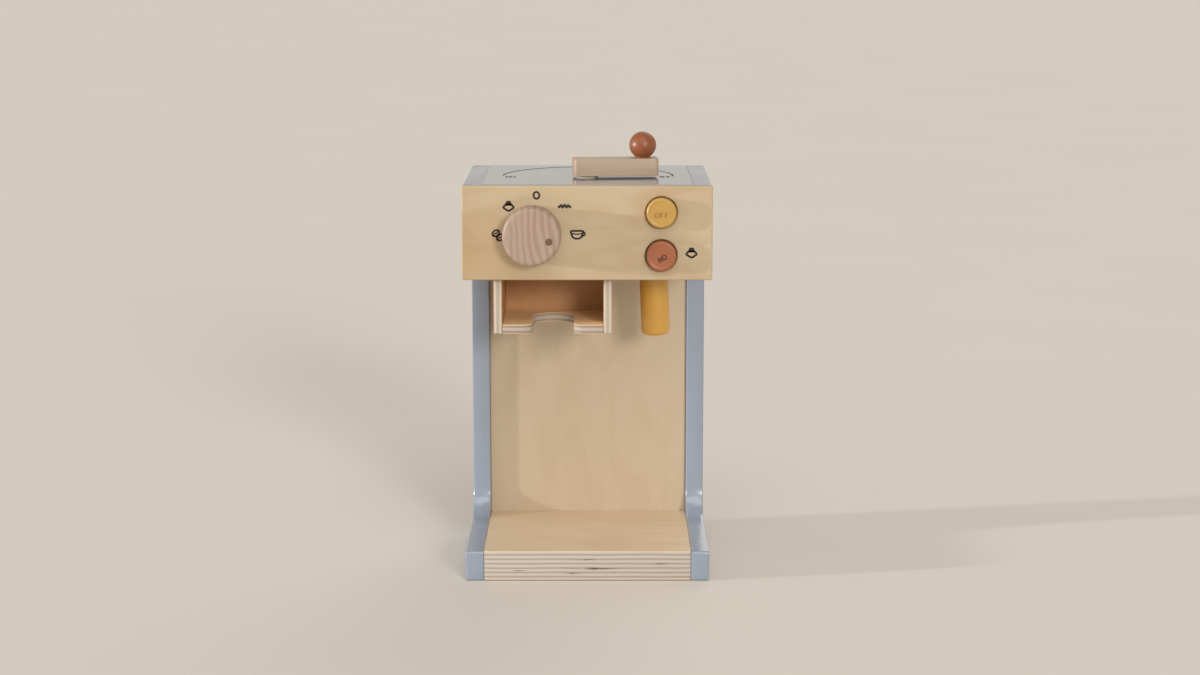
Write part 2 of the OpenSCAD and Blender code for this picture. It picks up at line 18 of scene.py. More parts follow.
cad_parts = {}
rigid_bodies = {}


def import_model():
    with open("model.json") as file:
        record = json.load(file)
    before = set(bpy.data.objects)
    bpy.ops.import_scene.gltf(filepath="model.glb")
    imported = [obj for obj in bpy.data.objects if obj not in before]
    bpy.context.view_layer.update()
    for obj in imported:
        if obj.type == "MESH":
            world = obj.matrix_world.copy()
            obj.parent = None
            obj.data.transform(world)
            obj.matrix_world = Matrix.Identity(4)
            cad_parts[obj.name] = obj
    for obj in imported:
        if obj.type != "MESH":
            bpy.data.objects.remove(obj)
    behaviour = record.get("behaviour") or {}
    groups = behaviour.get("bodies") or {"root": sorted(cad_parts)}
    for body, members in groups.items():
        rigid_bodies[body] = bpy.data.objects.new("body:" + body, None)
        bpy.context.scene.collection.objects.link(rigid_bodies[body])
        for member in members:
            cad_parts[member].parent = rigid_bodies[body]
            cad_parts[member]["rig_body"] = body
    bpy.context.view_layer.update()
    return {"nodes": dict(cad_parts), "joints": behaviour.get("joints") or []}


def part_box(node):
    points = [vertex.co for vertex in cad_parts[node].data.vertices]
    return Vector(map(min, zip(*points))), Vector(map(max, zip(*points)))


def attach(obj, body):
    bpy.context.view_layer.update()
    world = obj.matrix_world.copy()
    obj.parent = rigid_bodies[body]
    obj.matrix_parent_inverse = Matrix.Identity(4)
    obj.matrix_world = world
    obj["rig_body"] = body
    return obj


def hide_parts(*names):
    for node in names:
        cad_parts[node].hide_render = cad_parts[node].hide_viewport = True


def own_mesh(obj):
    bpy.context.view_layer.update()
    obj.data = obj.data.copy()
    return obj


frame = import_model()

MM = 0.001


def corners(node):
    """Lowest corner, highest corner and middle of a node, in metres."""
    low, high = (np.array(corner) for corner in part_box(node))
    return low, high, (low + high) / 2


def half_width(node):
    """Half of a node's width along X, which is a turned part's radius."""
    low, high, _ = corners(node)
    return (high[0] - low[0]) / 2


def add(name, data):
    """A new object in the scene."""
    made = bpy.data.objects.new(name, data)
    bpy.context.scene.collection.objects.link(made)
    return made


# %% [markdown]
# ## Camera
#
# The toy was photographed from a little above, with a long lens that keeps its
# upright edges almost parallel. The focal length is given in pixels of a
# picture 1200 wide, and becomes a lens for Blender's 36 mm sensor.

# %% Camera
PICTURE_W = 1200
FOCAL_PX = 2385
SENSOR_W = 36
LOOKS_DOWN = 10.01
CAMERA_X = 8.25 * MM
CAMERA_UP = 430.4 * MM
CAMERA_AWAY = 1517 * MM

front_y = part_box("front_panel")[0].y
camera_data = bpy.data.cameras.new("camera")
camera_data.sensor_width = SENSOR_W
camera_data.lens = FOCAL_PX / PICTURE_W * SENSOR_W
camera = add("camera", camera_data)
camera.location = (CAMERA_X, front_y - CAMERA_AWAY, CAMERA_UP)
camera.rotation_euler = (math.radians(90 - LOOKS_DOWN), 0, 0)
bpy.context.scene.camera = camera
bpy.context.scene.view_settings.view_transform = "Standard"
print("lens", round(camera_data.lens, 1), "mm")

# %% [markdown]
# ## Shader sums as Python sums
#
# A finish is mostly arithmetic on coordinates and noise. `Signal` wraps one
# output socket, so that `1 - mask` adds the Math node by itself, and the rest
# of the lesson can be read as formulas.

# %% Signals and finishes
BUMP_DEPTH = 0.1 * MM


class Signal:
    """One output socket of a finish, with arithmetic that adds Math nodes."""

    def __init__(self, finish, socket):
        self.finish = finish
        self.socket = socket

    def math(self, operation, *values):
        """A Math node on any values, signals or numbers."""
        inputs = dict(enumerate(values))
        return self.finish.node("Math", {"operation": operation}, inputs)

    def __add__(self, other):
        return self.math("ADD", self, other)

    __radd__ = __add__

    def __sub__(self, other):
        return self.math("SUBTRACT", self, other)

    def __rsub__(self, other):
        return self.math("SUBTRACT", other, self)

    def __mul__(self, other):
        return self.math("MULTIPLY", self, other)

    def wave(self):
        """The sine of this signal, in radians."""
        return self.math("SINE", self)

    def size(self):
        """This signal without its sign."""
        return self.math("ABSOLUTE", self)

    def step(self, low, high):
        """0 below low, 1 above high, and a smooth rise between them."""
        inputs = {"Value": self, "From Min": low, "From Max": high}
        return self.finish.node("MapRange", {"interpolation_type": "SMOOTHSTEP"}, inputs)


class Finish:
    """A material that is being built round one Principled shader."""

    def __init__(self, name, **constants):
        self.material = bpy.data.materials.new(name)
        self.material.use_nodes = True
        self.tree = self.material.node_tree
        self.shader = self.tree.nodes["Principled BSDF"]
        for socket, value in constants.items():
            self.shader.inputs[socket.replace("_", " ")].default_value = value

    def node(self, kind, settings=None, inputs=None, out=0):
        """Adds a node of any kind: settings first, then values or links."""
        node = self.tree.nodes.new("ShaderNode" + kind)
        for name, value in (settings or {}).items():
            setattr(node, name, value)
        for name, value in (inputs or {}).items():
            if isinstance(value, Signal):
                self.tree.links.new(value.socket, node.inputs[name])
            else:
                node.inputs[name].default_value = value
        return Signal(self, node.outputs[out])

    def at(self):
        """The place on the piece, in metres in the model's frame."""
        return self.node("TexCoord", out="Object")

    def parts(self, vector):
        """The X, Y and Z of a vector, as three signals."""
        split = self.node("SeparateXYZ", inputs={"Vector": vector}).socket.node
        return [Signal(self, socket) for socket in split.outputs]

    def stretched(self, scale, turn=(0, 0, 0), middle=(0, 0, 0)):
        """Coordinates about a middle, turned by degrees and then scaled."""
        moved = self.node("VectorMath", {"operation": "SUBTRACT"},
                          {0: self.at(), 1: tuple(middle)})
        turned = self.node("Mapping", inputs={
            "Vector": moved, "Rotation": [math.radians(a) for a in turn]})
        return self.node("VectorMath", {"operation": "MULTIPLY"},
                         {0: turned, 1: tuple(scale)})

    def noise(self, scale, detail=2, roughness=0.5, distortion=0, **lie):
        """Soft noise from 0 to 1, with `scale` lumps per metre along X, Y and Z."""
        return self.node("TexNoise", inputs={
            "Vector": self.stretched(scale, **lie), "Scale": 1, "Detail": detail,
            "Roughness": roughness, "Distortion": distortion})

    def lumps(self, size, detail=2, roughness=0.5):
        """Soft noise from 0 to 1, with lumps of one size all ways."""
        return self.noise([1 / size] * 3, detail, roughness)

    def done(self, colour, height, strength, roughness=None):
        """Feeds the shader and hands over the material."""
        self.feed("Base Color", colour)
        if roughness:
            self.feed("Roughness", roughness)
        self.bump(height, strength)
        return self.material

    def mix(self, factor, a, b, blend="MIX"):
        """Colour a where the factor is 0 and b where it is 1."""
        return self.node("Mix", {"data_type": "RGBA", "blend_type": blend},
                         {0: factor, 6: a, 7: b}, out=2)

    def bump(self, height, strength):
        """Bends the shading as if the surface rose by height times BUMP_DEPTH."""
        normal = self.node("Bump", inputs={
            "Height": height, "Strength": strength, "Distance": BUMP_DEPTH})
        self.feed("Normal", normal)

    def feed(self, socket, signal):
        """Links a signal to one of the shader's sockets."""
        self.tree.links.new(signal.socket, self.shader.inputs[socket])


def tone(red, green, blue):
    """A colour as a picture shows it, 0 to 255, made linear for the shader."""
    shown = np.array([red, green, blue]) / 255
    linear = np.where(shown < 0.04045, shown / 12.92, ((shown + 0.055) / 1.055) ** 2.4)
    return (*linear, 1)


# %% [markdown]
# ## Floor, sky and lamps
#
# The toy stands on a plain pale table in soft daylight. The surroundings are
# brightest at the height of the walls, so much of their light comes in level
# and reaches the back panel, and the pale floor sends light back up. A soft
# window at the front right throws the knob's shadow, a wide one above it lights
# what lies flat, and a narrow one on the far left grazes the back panel. A weak
# one behind keeps the back from going dark.

# %% Floor
FLOOR_HALF = 20.0
floor_mesh = bpy.data.meshes.new("floor")
floor_mesh.from_pydata(
    [(x * FLOOR_HALF, y * FLOOR_HALF, 0) for x, y in ((-1, -1), (1, -1), (1, 1), (-1, 1))],
    [], [(0, 1, 2, 3)])
floor_finish = Finish("floor", Roughness=0.9, Specular_IOR_Level=0.1)
cloud = floor_finish.noise((3, 3, 3))
floor_finish.feed("Base Color", floor_finish.mix(
    cloud, tone(223, 216, 206), tone(227, 220, 210)))
floor_mesh.materials.append(floor_finish.material)
add("floor", floor_mesh)

# %% Sky
SKY_LOW = (0.60, 0.555, 0.51, 1)
SKY_HIGH = (0.34, 0.333, 0.32, 1)
SKY_HIGH_FROM = 0.8
sky = bpy.data.worlds.new("sky")
bpy.context.scene.world = sky
sky.use_nodes = True
sky_tree = sky.node_tree
direction, height, ramp = (sky_tree.nodes.new("ShaderNode" + kind)
                           for kind in ("TexCoord", "SeparateXYZ", "ValToRGB"))
ramp.color_ramp.elements[0].color = SKY_LOW
ramp.color_ramp.elements[1].color = SKY_HIGH
ramp.color_ramp.elements[1].position = SKY_HIGH_FROM
sky_tree.links.new(direction.outputs["Generated"], height.inputs[0])
sky_tree.links.new(height.outputs["Z"], ramp.inputs[0])
sky_tree.links.new(ramp.outputs[0], sky_tree.nodes["Background"].inputs["Color"])


# %% Windows
def window(name, azimuth, elevation, spread, strength, colour):
    """A soft light from far away. Azimuth 0 is the front and 90 the right.

    It lights a white surface that faces it to the given strength, so its
    irradiance is pi times that. `spread` is its width in degrees.
    """
    light = bpy.data.lights.new(name, "SUN")
    light.angle = math.radians(spread)
    light.energy = math.pi * strength
    light.color = colour
    side, up = math.radians(azimuth), math.radians(elevation)
    towards = Vector((math.sin(side) * math.cos(up),
                      -math.cos(side) * math.cos(up), math.sin(up)))
    holder = add(name, light)
    holder.location = towards
    holder.rotation_euler = towards.to_track_quat("Z", "Y").to_euler()


DAYLIGHT = (1.0, 0.975, 0.94)
COOL_LIGHT = (0.97, 0.985, 1.0)
window("window_right", 21, 15, 14, 0.40, DAYLIGHT)
window("window_high", 4, 52, 40, 0.24, DAYLIGHT)
window("window_left", -79, 6, 2, 0.85, COOL_LIGHT)
window("window_back", 160, 35, 40, 0.16, DAYLIGHT)

# %% [markdown]
# ## Wood
#
# All bare wood here is made the same way. Fibres are noise that is stretched
# a long way along the grain and squeezed across it. A slower noise makes the
# cloudy figure of rotary-cut veneer. Only the tones and the way of the grain
# differ from board to board. The knob has bands of its own, further down.


# %% Fibres and figure
def grain_scale(along, length, width):
    """Lumps per metre: one per `length` along an axis, one per `width` across."""
    scale = [1 / width] * 3
    scale["XYZ".index(along)] = 1 / length
    return scale


def wood_face(finish, along, light, dark, figure, depth=1.0, **lie):
    """Colour and fibre height of a sawn or sliced wood face.

    colour = light, towards figure by a slow cloud, then towards dark by the
    fibres, as deep as `depth` says. `lie` may give a turn and a middle.
    """
    fibre = finish.noise(grain_scale(along, 60 * MM, 1.6 * MM), 3, 0.6, 0.4, **lie)
    hair = finish.noise(grain_scale(along, 9 * MM, 0.35 * MM), 2, 0.6, **lie)
    cloud = finish.noise(grain_scale(along, 75 * MM, 26 * MM), 2, 0.55, 1.2, **lie)
    colour = finish.mix(cloud.step(0.38, 0.66), light, figure)
    colour = finish.mix(fibre.step(0.45, 0.80) * (0.55 * depth), colour, dark)
    colour = finish.mix(hair.step(0.58, 0.85) * (0.35 * depth), colour, dark)
    return colour, hair * 0.6 + fibre * 0.4


# %% [markdown]
# ## Plywood
#
# A plywood board shows veneer on its two faces and all its plies along its
# edges. Plies alternate: one with its fibres along the edge, pale and smooth,
# then one cut across its fibres, darker and rougher, with a thin line of glue
# between them. The mesh keeps a value, `edge`, that says where the edge is, and
# the place across the thickness says which ply it is, so the stripes run true
# round every corner.

# %% Ply stripes
SPECK_TONE = tone(150, 126, 108)
GLUE_TONE = tone(132, 104, 84)
STAIN_TONE = tone(104, 64, 58)


def ply_colour(finish, across, low, ply, pale, deep, narrow=0.0):
    """Colour of a plywood edge.

    s counts plies from the lower face, with a slow waver. sin(pi s) is
    positive in one ply and negative in the next, so a smooth step on it gives
    the stripes, and its zeros are the glue lines. With `narrow`, the step lies
    below zero and leaves thinner dark plies.
    """
    place = finish.parts(finish.at())["XYZ".index(across)]
    waver = finish.noise([90 if axis == across else 28 for axis in "XYZ"])
    plies = (place - low) * (1 / ply) + (waver - 0.5) * 0.55
    swing = (plies * math.pi).wave()
    end_grain = swing.step(0.25 - narrow, -0.25 - narrow)
    fibre = finish.noise(grain_scale(across, 0.5 * MM, 14 * MM), 3, 0.65)
    speck = finish.lumps(0.5 * MM, 3, 0.7)
    colour = finish.mix(end_grain, pale, deep)
    colour = finish.mix(fibre.step(0.50, 0.80) * 0.30, colour, deep)
    colour = finish.mix(speck.step(0.45, 0.75) * end_grain * 0.35, colour, SPECK_TONE)
    glue = 1 - swing.size().step(0.0, 0.22)
    colour = finish.mix(glue * 0.22, colour, GLUE_TONE)
    return colour, speck * end_grain + fibre * 0.3


def streaks(finish, colour, places):
    """Short dark streaks along X, each (x, z, half length, half height) in mm."""
    x, _, z = finish.parts(finish.at())
    broken = finish.noise(grain_scale("X", 9 * MM, 0.8 * MM), 3, 0.7)
    for x0, z0, half_length, half_height in places:
        along = ((x - x0 * MM) * (1 / (half_length * MM))).size()
        off = ((z - z0 * MM) * (1 / (half_height * MM))).size()
        inside = (along + off).step(1.25, 0.35)
        colour = finish.mix(inside * broken.step(0.36, 0.60), colour, STAIN_TONE)
    return colour


# %% Plywood
SHADE_FROM = -20 * MM
SHADE_TO = -110 * MM
SHADE_SLOPE = 1.5


def plywood(name, node, across, along, plies, face, edge_tones, narrow=0.0, stains=(),
            heartwood=None):
    """A lacquered plywood board: veneer on the faces, plies on the edges.

    `heartwood` tints the face by degrees towards its lower left corner, darker
    and warmer, as painted shade for the knob's shadow and the side away from the
    light: from SHADE_FROM to SHADE_TO in x + SHADE_SLOPE z, with z from the board's middle.
    """
    low, high, _ = corners(node)
    axis = "XYZ".index(across)
    finish = Finish(name, Roughness=0.52)
    face_colour, face_height = wood_face(finish, along, *face)
    if heartwood:
        x, _, z = finish.parts(finish.at())
        corner = x + (z - (low[2] + high[2]) / 2) * SHADE_SLOPE
        face_colour = finish.mix(corner.step(SHADE_FROM, SHADE_TO), face_colour, heartwood,
                                 blend="MULTIPLY")
    edge_colour, edge_height = ply_colour(
        finish, across, low[axis], (high[axis] - low[axis]) / plies, *edge_tones, narrow)
    if stains:
        edge_colour = streaks(finish, edge_colour, stains)
    edge = finish.node("Attribute", {"attribute_name": "edge"}, out="Fac")
    return finish.done(finish.mix(edge.step(0.3, 0.7), face_colour, edge_colour),
                       face_height * (1 - edge) + edge_height * edge, 0.18,
                       0.44 + edge * 0.22 + face_height * 0.12)


# %% [markdown]
# ## Paint, ink and metal
#
# The side panels, buttons, ball and wand are sprayed with a satin paint that
# leaves a fine orange-peel skin. It is never quite even: a slow noise changes
# its tone and its gloss a little. The side panels and the top are varnished
# too. Seen at a flat angle, the varnish mirrors the bright room, and more so
# on the top, where it is smoothest.

# %% Paint
def paint(name, colour, shade, roughness, peel=0.10, varnish=0.0, varnish_roughness=0.0):
    """Satin paint: a slow mottle, a fine skin and slightly uneven gloss.

    `peel` is the skin's strength, and `varnish` the weight of a clear coat.
    """
    finish = Finish(name, Roughness=roughness, Coat_Weight=varnish,
                    Coat_Roughness=varnish_roughness)
    mottle = finish.noise([38] * 3, 3, 0.55)
    skin = finish.lumps(0.9 * MM)
    grit = finish.lumps(0.25 * MM, 1)
    return finish.done(finish.mix(mottle.step(0.3, 0.75), colour, shade),
                       skin * 0.75 + grit * 0.25, peel, roughness - 0.05 + mottle * 0.10)


# %% Ink
def ink(name, colour, worn):
    """Pad-printed ink: flat and slightly patchy."""
    finish = Finish(name, Roughness=0.6)
    patch = finish.lumps(0.8 * MM, 2, 0.6)
    return finish.done(finish.mix(patch.step(0.5, 0.8) * 0.5, colour, worn), patch, 0.05)


# %% Metal
def zinc(name):
    """Zinc-plated steel with fine turning marks."""
    finish = Finish(name, Metallic=1.0, Roughness=0.34)
    cloud = finish.lumps(1.5 * MM, 3, 0.6)
    return finish.done(finish.mix(cloud, tone(168, 170, 174), tone(196, 197, 199)), cloud, 0.05,
                       0.26 + cloud * 0.2)


# %% Plain hidden wood
def bare_wood(name, along):
    """Unfinished beech, as dowels, discs and stems have."""
    finish = Finish(name, Roughness=0.62)
    colour, height = wood_face(
        finish, along, tone(203, 176, 142), tone(160, 124, 92), tone(192, 160, 124))
    return finish.done(colour, height, 0.2)


# %% [markdown]
# ## Boards as carried profiles
#
# Every board is an outline with a thickness. A plain extrusion has knife
# edges that no sanded toy has, so the outline is carried along a small
# profile that rounds both rims. The same function cuts the holes: a hole is
# one more loop, walked the other way round. One extra ring on each face, a
# little further in, keeps the wide faces flat in the shading.


# %% Outlines
def arc(middle, radius, start, stop, steps=10):
    """Points on a circle round a middle, between two angles in degrees."""
    turn = np.radians(np.linspace(start, stop, steps + 1))
    return np.array(middle) + radius * np.stack([np.cos(turn), np.sin(turn)], 1)


def circle(middle, radius, steps=72):
    """Points all round a circle, the first one not repeated."""
    return arc(middle, radius, 0, 360 - 360 / steps, steps - 1)


def round_corners(points, radius, steps=5):
    """Replaces each corner by an arc that is tangent to both its edges.

    radius is one number, or one for each corner. The arc starts and ends at
    radius / tan(half the corner's angle) from the corner.
    """
    points = np.array(points, float)
    radii = np.broadcast_to(radius, len(points))
    rounded = []
    for here, before, after, r in zip(points, np.roll(points, 1, 0),
                                      np.roll(points, -1, 0), radii):
        back = (before - here) / np.linalg.norm(before - here)
        ahead = (after - here) / np.linalg.norm(after - here)
        half = math.acos(np.clip(back @ ahead, -1, 1)) / 2
        middle = here + (back + ahead) / np.linalg.norm(back + ahead) * r / math.sin(half)
        start, stop = here + back * r / math.tan(half), here + ahead * r / math.tan(half)
        first = math.degrees(math.atan2(*(start - middle)[::-1]))
        last = math.degrees(math.atan2(*(stop - middle)[::-1]))
        sweep = (last - first + 180) % 360 - 180
        rounded.append(arc(middle, r, first, first + sweep, steps))
    return np.vstack(rounded)


def inset(loop, distance):
    """Moves a closed loop to its left by a distance, its edges kept parallel.

    Each point moves along the sum of its two edge normals over 1 + n1.n2.
    """
    edge = loop - np.roll(loop, 1, 0)
    normal = np.stack([-edge[:, 1], edge[:, 0]], 1)
    normal /= np.linalg.norm(normal, axis=1, keepdims=True)
    following = np.roll(normal, -1, 0)
    share = 1 + (normal * following).sum(1, keepdims=True)
    return loop + distance * (normal + following) / share


def ring_quads(rings, count, first=0):
    """Quads between rings of `count` points each, numbered from `first`."""
    i = np.arange(count)
    j = (i + 1) % count
    k = np.arange(rings - 1)[:, None] * count + first
    return np.stack([k + i, k + j, k + j + count, k + i + count], -1).reshape(-1, 4).tolist()


def signed_area(loop):
    """A loop's area, above zero if it runs to the left."""
    x, y = loop.T
    return 0.5 * np.sum(x * np.roll(y, -1) - y * np.roll(x, -1))


# %% Carried outlines
FACE_RING = 0.3 * MM
AXES = {"X": (1, 2, 0), "Y": (0, 2, 1), "Z": (0, 1, 2)}


def carried(outline, across, depth, rim, holes=(), steps=4):
    """Points, faces and edge values of a board.

    Its rim at angle t, 0 to 90 degrees, lies rim (1 - sin t) inside the
    outline and rim (1 - cos t) below the face.
    """
    t = np.radians(np.linspace(0, 90, steps + 1))
    inward = np.r_[rim + FACE_RING, rim * (1 - np.sin(t))]
    sunk = np.r_[0, rim * (1 - np.cos(t))]
    inward = np.r_[inward, inward[::-1]]
    level = np.r_[depth[0] + sunk, (depth[1] - sunk)[::-1]]
    on_edge = np.repeat([0, 1, 0], [steps + 1, 2, steps + 1])

    loops = [outline if signed_area(outline) > 0 else outline[::-1]]
    loops += [hole if signed_area(hole) < 0 else hole[::-1] for hole in holes]
    points, quads, values, low_rings, high_rings = [], [], [], [], []
    for loop in loops:
        first, count, rings = sum(map(len, points)), len(loop), len(level)
        flat = np.concatenate([inset(loop, distance) for distance in inward])
        points.append(np.c_[flat, np.repeat(level, count)])
        values.append(np.repeat(on_edge, count))
        quads += ring_quads(rings, count, first)
        low_rings.append(first + np.arange(count))
        high_rings.append(low_rings[-1] + (rings - 1) * count)

    low_index, high_index = np.concatenate(low_rings), np.concatenate(high_rings)
    points = np.concatenate(points)
    triangles = np.array(tessellate_polygon([[Vector((*p, 0)) for p in inset(loop, inward[0])]
                                             for loop in loops]))
    a, b, c = (points[low_index[triangles[:, n]], :2] for n in range(3))
    turned = ((b - a)[:, 0] * (c - a)[:, 1] - (b - a)[:, 1] * (c - a)[:, 0]) < 0
    triangles[turned] = triangles[turned][:, ::-1]
    faces = quads + high_index[triangles].tolist() + low_index[triangles[:, ::-1]].tolist()

    placed = np.empty_like(points)
    placed[:, AXES[across]] = points
    if across == "Y":
        faces = [face[::-1] for face in faces]
    return placed, faces, np.concatenate(values)


# %% Meshes from arrays
SHARP_ANGLE = 40
BOARD_RIM = 0.6 * MM
EASED_CORNER = 1 * MM


def piece(name, points, faces, material, edge=None):
    """An object from arrays, smooth except over sharp angles."""
    mesh = bpy.data.meshes.new(name)
    mesh.from_pydata(points.tolist(), [], faces)
    if edge is not None:
        mesh.attributes.new("edge", "FLOAT", "POINT").data.foreach_set("value", edge)
    mesh.shade_smooth()
    mesh.set_sharp_from_angle(angle=math.radians(SHARP_ANGLE))
    mesh.materials.append(material)
    return add(name, mesh)


def fit(made, node):
    """The piece stands for a node and rides on its body."""
    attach(made, frame["nodes"][node]["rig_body"])
    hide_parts(node)
    print(made.name, "stands for", node, "with", len(made.data.polygons), "faces")


def board(node, outline, across, material, rim=BOARD_RIM, holes=()):
    """The board that stands for a node, as deep as the node is."""
    low, high, _ = corners(node)
    axis = "XYZ".index(across)
    points, faces, edge = carried(outline, across, (low[axis], high[axis]), rim, holes)
    fit(piece(node + "_board", points, faces, material, edge), node)


def rectangle(node, across, corner=EASED_CORNER):
    """The outline of a node's box, seen along an axis, with eased corners."""
    low, high, _ = corners(node)
    a, b, _ = AXES[across]
    return round_corners([(low[a], low[b]), (high[a], low[b]),
                          (high[a], high[b]), (low[a], high[b])], corner)


def plywood_board(node, name, across, along, plies, face, edges, slot="pale_plywood",
                  outline=None, rim=BOARD_RIM, holes=(), **looks):
    """A plywood board that stands for a node, with its box as the plain outline."""
    wood = plywood(name, node, across, along, plies, face, edges, **looks)
    outline = rectangle(node, across) if outline is None else outline
    board(node, outline, across, wood, rim, holes)


# %% [markdown]
# ## Side panels
#
# Each side panel is a C: foot, column and head in one board, with a generous
# round in both inner corners and only a slight round on the outer ones. It is
# painted all over, so its plies do not show.

# %% Side panels
COLUMN_DEEP = 24 * MM
BAY_ROUND = 19 * MM
OUTER_ROUND = 1.8 * MM
SIDE_RIM = 0.9 * MM

side_paint = paint("blue_grey_paint", tone(142, 152, 168), tone(137, 148, 163), 0.27,
                   peel=0.04, varnish=1.0, varnish_roughness=0.16)
top_paint = paint("blue_grey_gloss", tone(147, 158, 172), tone(142, 153, 167), 0.14,
                  peel=0.01, varnish=1.0, varnish_roughness=0.08)
panel_low, panel_high, _ = corners("left_side_panel")
foot_z = corners("base_board")[1][2]
head_z = corners("head_floor")[0][2]
head_y = corners("front_panel")[1][1]
column_y = panel_high[1] - COLUMN_DEEP
side_outline = round_corners(
    [(panel_low[1], 0), (panel_high[1], 0), (panel_high[1], panel_high[2]),
     (head_y, panel_high[2]), (head_y, head_z), (column_y, head_z),
     (column_y, foot_z), (panel_low[1], foot_z)],
    [OUTER_ROUND] * 5 + [BAY_ROUND] * 2 + [OUTER_ROUND], steps=8)
for side in ("left", "right"):
    board(side + "_side_panel", side_outline, "X", side_paint, SIDE_RIM)

# %% [markdown]
# ## The boards between them
#
# The base is thick plywood with its plies bare to the front. The back panel
# and the head's floor are veneered boards, and the top is painted like the
# sides. Screw and axle holes are cut to the size of what sits in them.

# %% Base board
base_tones = (tone(224, 201, 169), tone(210, 181, 146), tone(219, 194, 161), 0.35)
back_tones = (tone(191, 172, 146), tone(183, 159, 129), tone(187, 167, 140), 0.25)
edge_tones = (tone(190, 181, 169), tone(162, 147, 134))
BASE_STREAKS = ((4, 8.4, 22, 0.9), (-8, 5.2, 8, 0.8), (48.5, 11.6, 6, 0.9),
                (-2, 14.4, 10, 0.6), (-46, 7.0, 9, 0.5))
plywood_board("base_board", "base_plywood", "Z", "X", 13, base_tones, edge_tones,
              "veneer_board", narrow=0.5, stains=BASE_STREAKS)

# %% Back panel
SCREW_HEAD_R = 3.3 * MM
SCREWS_APART = 8 * MM
LEVEL_WITHIN = 0.01 * MM

screw_mesh = frame["nodes"]["back_screws"].data
screws = np.empty(len(screw_mesh.vertices) * 3)
screw_mesh.vertices.foreach_get("co", screws)
screws = screws.reshape(-1, 3)
heads = screws[screws[:, 1] > corners("back_screws")[1][1] - LEVEL_WITHIN][:, [0, 2]]
# Points of one head lie close together: each goes with the first one near it
near = np.linalg.norm(heads[:, None] - heads, axis=2) < SCREWS_APART
group = near.argmax(1)
screw_places = [(heads[group == g].min(0) + heads[group == g].max(0)) / 2
                for g in np.unique(group)]
plywood_board("back_panel", "back_veneer", "Y", "Z", 5, back_tones, edge_tones,
              "veneer_board", holes=[circle(place, SCREW_HEAD_R, 32) for place in screw_places])
print("screws in the back:", len(screw_places))

# %% Head's floor
AXLE_ROOM = 0.7 * MM
axle_low, axle_high, axle_middle = corners("wand_axle")
axle_hole = circle(axle_middle[:2], (axle_high[1] - axle_low[1]) / 2 + AXLE_ROOM, 48)
plywood_board("head_floor", "head_floor_wood", "Z", "X", 5, back_tones, edge_tones,
              "veneer_board", holes=[axle_hole])

# %% Top panel
BOLT_HOLE_R = 3.1 * MM
TOP_RIM = 0.5 * MM
pivot = corners("lever_bolt")[2][:2]
board("top_panel", rectangle("top_panel", "Z"), "Z", top_paint, TOP_RIM,
      [circle(pivot, BOLT_HOLE_R, 48)])

# %% [markdown]
# ## Front panel
#
# The front panel covers the whole head. Its rotary-cut face has a soft, cloudy
# figure between straw yellow and pale pink. Its two button holes are a little
# wider than the buttons, and that open ring reads as a dark line.

# %% Front panel
front_tones = (tone(189, 169, 137), tone(191, 167, 133), tone(182, 158, 124), 0.5)
# The face is multiplied darker and warmer towards its lower left: painted shade where the knob's
# shadow falls, away from the light at the right.
LOWER_LEFT_SHADE = (0.90, 0.83, 0.72, 1)
FRONT_CORNER = 1.4 * MM
FRONT_RIM = 0.9 * MM
RING_GAP = 0.45 * MM
AXLE_GAP = 0.08 * MM
knob_middle = corners("knob_axle")[2][[0, 2]]
front_holes = [circle(corners(button)[2][[0, 2]], half_width(button) + RING_GAP, 96)
               for button in ("off_button", "on_button")]
front_holes.append(circle(knob_middle, half_width("knob_axle") + AXLE_GAP, 48))
plywood_board("front_panel", "front_plywood", "Y", "X", 7, front_tones, edge_tones,
              outline=rectangle("front_panel", "Y", FRONT_CORNER), rim=FRONT_RIM,
              holes=front_holes, heartwood=LOWER_LEFT_SHADE)

# %% [markdown]
# ## Dock
#
# Four thin plywood boards make the dock. Its shelf has a long U slot that is
# open to the front, where the neck of a filter holder slides in. The two
# corners at the slot's mouth are rounded, and the plies show all round it.

# %% Dock walls
dock_tones = (tone(195, 147, 97), tone(179, 126, 76), tone(190, 138, 88), 0.6)
shelf_tones = (tone(248, 216, 170), tone(230, 188, 140), tone(241, 204, 156), 0.5)
wall_edge_tones = (tone(200, 188, 174), tone(176, 165, 146))
DOCK_RIM = 0.4 * MM
for wall, name, across, along in (("dock_left_wall", "dock_left_wall_wood", "X", "Y"),
                                  ("dock_right_wall", "dock_right_wall_wood", "X", "Y"),
                                  ("dock_back_wall", "dock_back_wood", "Y", "X")):
    plywood_board(wall, name, across, along, 3, dock_tones, wall_edge_tones, rim=DOCK_RIM)

# %% Dock shelf
SLOT_W = 27 * MM
SLOT_L = 50 * MM
MOUTH_ROUND = 6 * MM
TINY_ROUND = 0.01 * MM
low, high, middle = corners("dock_shelf")
slot_r = SLOT_W / 2
slot_end = low[1] + SLOT_L - slot_r


def shelf_side(outer, inner, steps=5):
    """The shelf beside its slot, from the rear corner to the slot's round end.

    The last of the four corners only gives the slot's side its direction, so
    the points of its tiny arc are left out.
    """
    points = [(outer, high[1]), (outer, low[1]), (inner, low[1]), (inner, slot_end)]
    radii = [EASED_CORNER, EASED_CORNER, MOUTH_ROUND, TINY_ROUND]
    return round_corners(points, radii, steps)[:-steps - 1]


shelf_outline = np.vstack([
    shelf_side(low[0], middle[0] - slot_r),
    arc((middle[0], slot_end), slot_r, 180, 0, 32),
    shelf_side(high[0], middle[0] + slot_r)[::-1]])
shelf_edge_tones = (tone(158, 137, 119), tone(182, 172, 159))
plywood_board("dock_shelf", "dock_shelf_wood", "Z", "X", 3, shelf_tones, shelf_edge_tones,
              outline=shelf_outline, rim=DOCK_RIM)

# %% [markdown]
# ## Turned parts
#
# A lathe makes the knob, the buttons, the ball and the wand, so each is a
# profile carried round an axis. The profile starts and ends on the axis, and
# its first and last points there close the part with one pole each.

